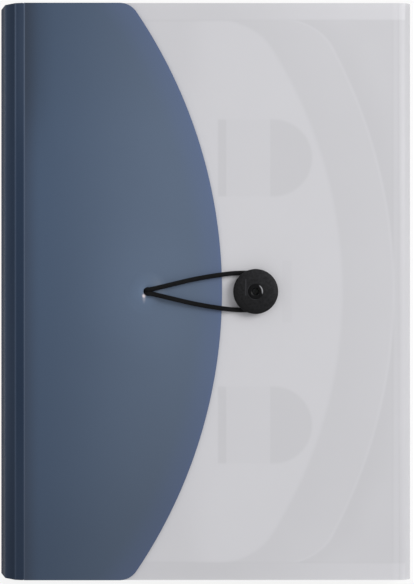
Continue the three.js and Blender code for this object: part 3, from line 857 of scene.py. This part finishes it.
class FILE_OT_elastic(bpy.types.Operator):
    """Makes the elastic loop from the flap's hole round the button's collar"""
    bl_idname = "expfile.elastic"
    bl_label = "Elastic loop"

    CLEARANCE = 0.2 * MM            # between the cord and what it lies on
    RING_HEIGHT = 1.6 * MM          # of the raised ring round the hole, over the flap
    NECK_STEPS = 10                 # points round the collar, less one

    def execute(self, context):
        sizes = context.scene.elastic_sizes
        mesh = self.cord(context, self.path(sizes), sizes.cord_radius)
        finish_piece("elastic_cord", mesh, elastic_material(), "flap",
                     ("elastic_loop",))
        return {"FINISHED"}

    def path(self, sizes):
        """Points of the cord: one strand, the half turn round the collar, the other strand."""
        neck = COLLAR_RADIUS + self.CLEARANCE + sizes.cord_radius
        neck_z = (PANEL_TOP + CAP_LOW.z) / 2
        rim = FLAP_HIGH.z
        over = rim - self.RING_HEIGHT + sizes.cord_radius + self.CLEARANCE
        spread = sizes.spread_at_hole
        strand = [
            (HOLE_X - 0.5 * MM, spread, LOOP_LOW.z + 1.2 * MM),
            (HOLE_X - 0.4 * MM, spread, rim + 0.2 * MM),
            (HOLE_X + 1.2 * MM, spread + 0.1 * MM, rim + 1.45 * MM),
            (HOLE_X + 5 * MM, spread + 0.9 * MM, rim + 1.85 * MM),
            (HOLE_X + 14 * MM, 4.1 * MM, rim + 1.55 * MM),
            (HOLE_X + 28 * MM, 7.3 * MM, over + 0.9 * MM),
            (FLAP_HIGH.x, 9.75 * MM, over + 0.2 * MM),
            (CAP_LOW.x + 1 * MM, neck, neck_z + 0.1 * MM),
        ]
        angles = [math.pi / 2 - step / self.NECK_STEPS * math.pi
                  for step in range(self.NECK_STEPS + 1)]
        turn = [(BUTTON_X + neck * math.cos(angle), neck * math.sin(angle), neck_z)
                for angle in angles]
        return strand + turn + [(x, -y, z) for x, y, z in reversed(strand)]

    def cord(self, context, points, radius):
        """A round cord as a mesh, along a smooth curve through the points."""
        curve = bpy.data.curves.new("elastic_path", "CURVE")
        curve.dimensions = "3D"
        spline = curve.splines.new("BEZIER")
        spline.bezier_points.add(len(points) - 1)
        for place, point in zip(points, spline.bezier_points):
            point.co = place
            point.handle_left_type = "AUTO"
            point.handle_right_type = "AUTO"
        curve.bevel_depth = radius
        curve.bevel_resolution = 6
        curve.resolution_u = 10
        curve.use_fill_caps = True
        maker = bpy.data.objects.new("elastic_maker", curve)
        context.scene.collection.objects.link(maker)
        context.view_layer.update()
        graph = context.evaluated_depsgraph_get()
        mesh = bpy.data.meshes.new_from_object(maker.evaluated_get(graph), depsgraph=graph)
        bpy.data.objects.remove(maker)
        mesh.name = "elastic_cord"
        for polygon in mesh.polygons:
            polygon.use_smooth = True
        return mesh


class FILE_OT_stage(bpy.types.Operator):
    """Sets the floor, the lamps, the sky and the camera"""
    bl_idname = "expfile.stage"
    bl_label = "Studio"

    FLOOR_REACH = 3.0               # metres each way from the middle
    FLOOR_LEVEL = -0.2 * MM
    FLOOR_COLOUR = (0.82, 0.82, 0.82, 1.0)
    FLOOR_GLOW = 0.86               # share of plain white where the floor is looked at
    SKY_COLOUR = (0.97, 0.98, 1.0, 1.0)
    KEY_LAMP = (1.3, (1.6, 0.8, 1.6))           # side and place, in metres
    GLINT_LAMP = (0.25, (1.75, 0.6, 1.5))
    PHOTO_HEIGHT = 584              # pixels
    SENSOR_HEIGHT = 24.0            # millimetres, as the lens is
    CAMERA_Y = -0.3 * MM

    def execute(self, context):
        studio = context.scene.file_studio
        self.floor(context)
        self.lamp(context, "key_lamp", studio.key_power, *self.KEY_LAMP)
        self.lamp(context, "glint_lamp", studio.glint_power, *self.GLINT_LAMP)
        self.sky(context, studio)
        self.camera(context, studio)
        context.scene.view_settings.view_transform = "Standard"
        return {"FINISHED"}

    def floor(self, context):
        work = bmesh.new()
        bmesh.ops.create_grid(work, x_segments=1, y_segments=1, size=self.FLOOR_REACH)
        mesh = bpy.data.meshes.new("studio_floor")
        work.to_mesh(mesh)
        work.free()
        floor = bpy.data.objects.new("studio_floor", mesh)
        floor.location.z = self.FLOOR_LEVEL
        context.scene.collection.objects.link(floor)
        tree = material_tree("floor_paper")
        paper = tree.node("ShaderNodeBsdfDiffuse", {}, {"Color": self.FLOOR_COLOUR})[0]
        glow = tree.node("ShaderNodeEmission", {}, {"Color": WHITE, "Strength": 1.0})[0]
        share = tree.seen_white() * self.FLOOR_GLOW
        mixed = tree.node("ShaderNodeMixShader", {}, {0: share, 1: paper, 2: glow})[0]
        tree.node("ShaderNodeOutputMaterial", {}, {"Surface": mixed})
        mesh.materials.append(tree.owner)

    def lamp(self, context, name, power, side, place):
        """A square lamp that faces the file's middle."""
        data = bpy.data.lights.new(name, "AREA")
        data.shape = "SQUARE"
        data.size = side
        data.energy = power
        lamp = bpy.data.objects.new(name, data)
        lamp.location = place
        lamp.rotation_euler = lamp.location.to_track_quat("Z", "Y").to_euler()
        context.scene.collection.objects.link(lamp)

    def sky(self, context, studio):
        world = bpy.data.worlds.new("studio_sky")
        context.scene.world = world
        tree = Tree(world)
        soft = tree.node("ShaderNodeBackground", {},
                         {"Color": self.SKY_COLOUR, "Strength": studio.world_strength})[0]
        bright = tree.node("ShaderNodeBackground", {}, {"Color": WHITE, "Strength": 1.0})[0]
        inputs = {0: tree.seen_white(), 1: soft, 2: bright}
        mixed = tree.node("ShaderNodeMixShader", {}, inputs)[0]
        tree.node("ShaderNodeOutputWorld", {}, {"Surface": mixed})

    def camera(self, context, studio):
        data = bpy.data.cameras.new("photo_camera")
        data.sensor_fit = "VERTICAL"
        data.sensor_height = self.SENSOR_HEIGHT
        field = self.PHOTO_HEIGHT * studio.pixel_size
        data.lens = data.sensor_height * studio.camera_height / field
        camera = bpy.data.objects.new("photo_camera", data)
        height = PANEL_TOP + studio.camera_height
        camera.location = (studio.camera_offset, self.CAMERA_Y, height)
        context.scene.collection.objects.link(camera)
        context.scene.camera = camera


class FILE_PT_panel(bpy.types.Panel):
    """Lists the settings and the pieces of the expanding file"""
    bl_idname = "FILE_PT_panel"
    bl_label = "Expanding file"
    bl_space_type = "VIEW_3D"
    bl_region_type = "UI"
    bl_category = "Expanding file"

    def draw(self, context):
        layout = self.layout
        for group in GROUPS:
            data = getattr(context.scene, group)
            for key in data.__annotations__:
                layout.prop(data, key)
        for operator in OPERATORS:
            layout.operator(operator.bl_idname)


GROUPS = {"file_colours": FileColours, "elastic_sizes": ElasticSizes, "file_studio": FileStudio}
OPERATORS = (
    FILE_OT_stage, FILE_OT_cover, FILE_OT_pockets, FILE_OT_blue, FILE_OT_button, FILE_OT_elastic,
)


def register():
    for name, group in GROUPS.items():
        bpy.utils.register_class(group)
        setattr(bpy.types.Scene, name, bpy.props.PointerProperty(type=group))
    for operator in OPERATORS:
        bpy.utils.register_class(operator)
    bpy.utils.register_class(FILE_PT_panel)


def unregister():
    bpy.utils.unregister_class(FILE_PT_panel)
    for operator in reversed(OPERATORS):
        bpy.utils.unregister_class(operator)
    for name, group in GROUPS.items():
        delattr(bpy.types.Scene, name)
        bpy.utils.unregister_class(group)


def main():
    register()
    bpy.ops.expfile.stage()
    bpy.ops.expfile.cover()
    bpy.ops.expfile.pockets()
    bpy.ops.expfile.blue()
    bpy.ops.expfile.button()
    bpy.ops.expfile.elastic()


if __name__ == "__main__":
    main()
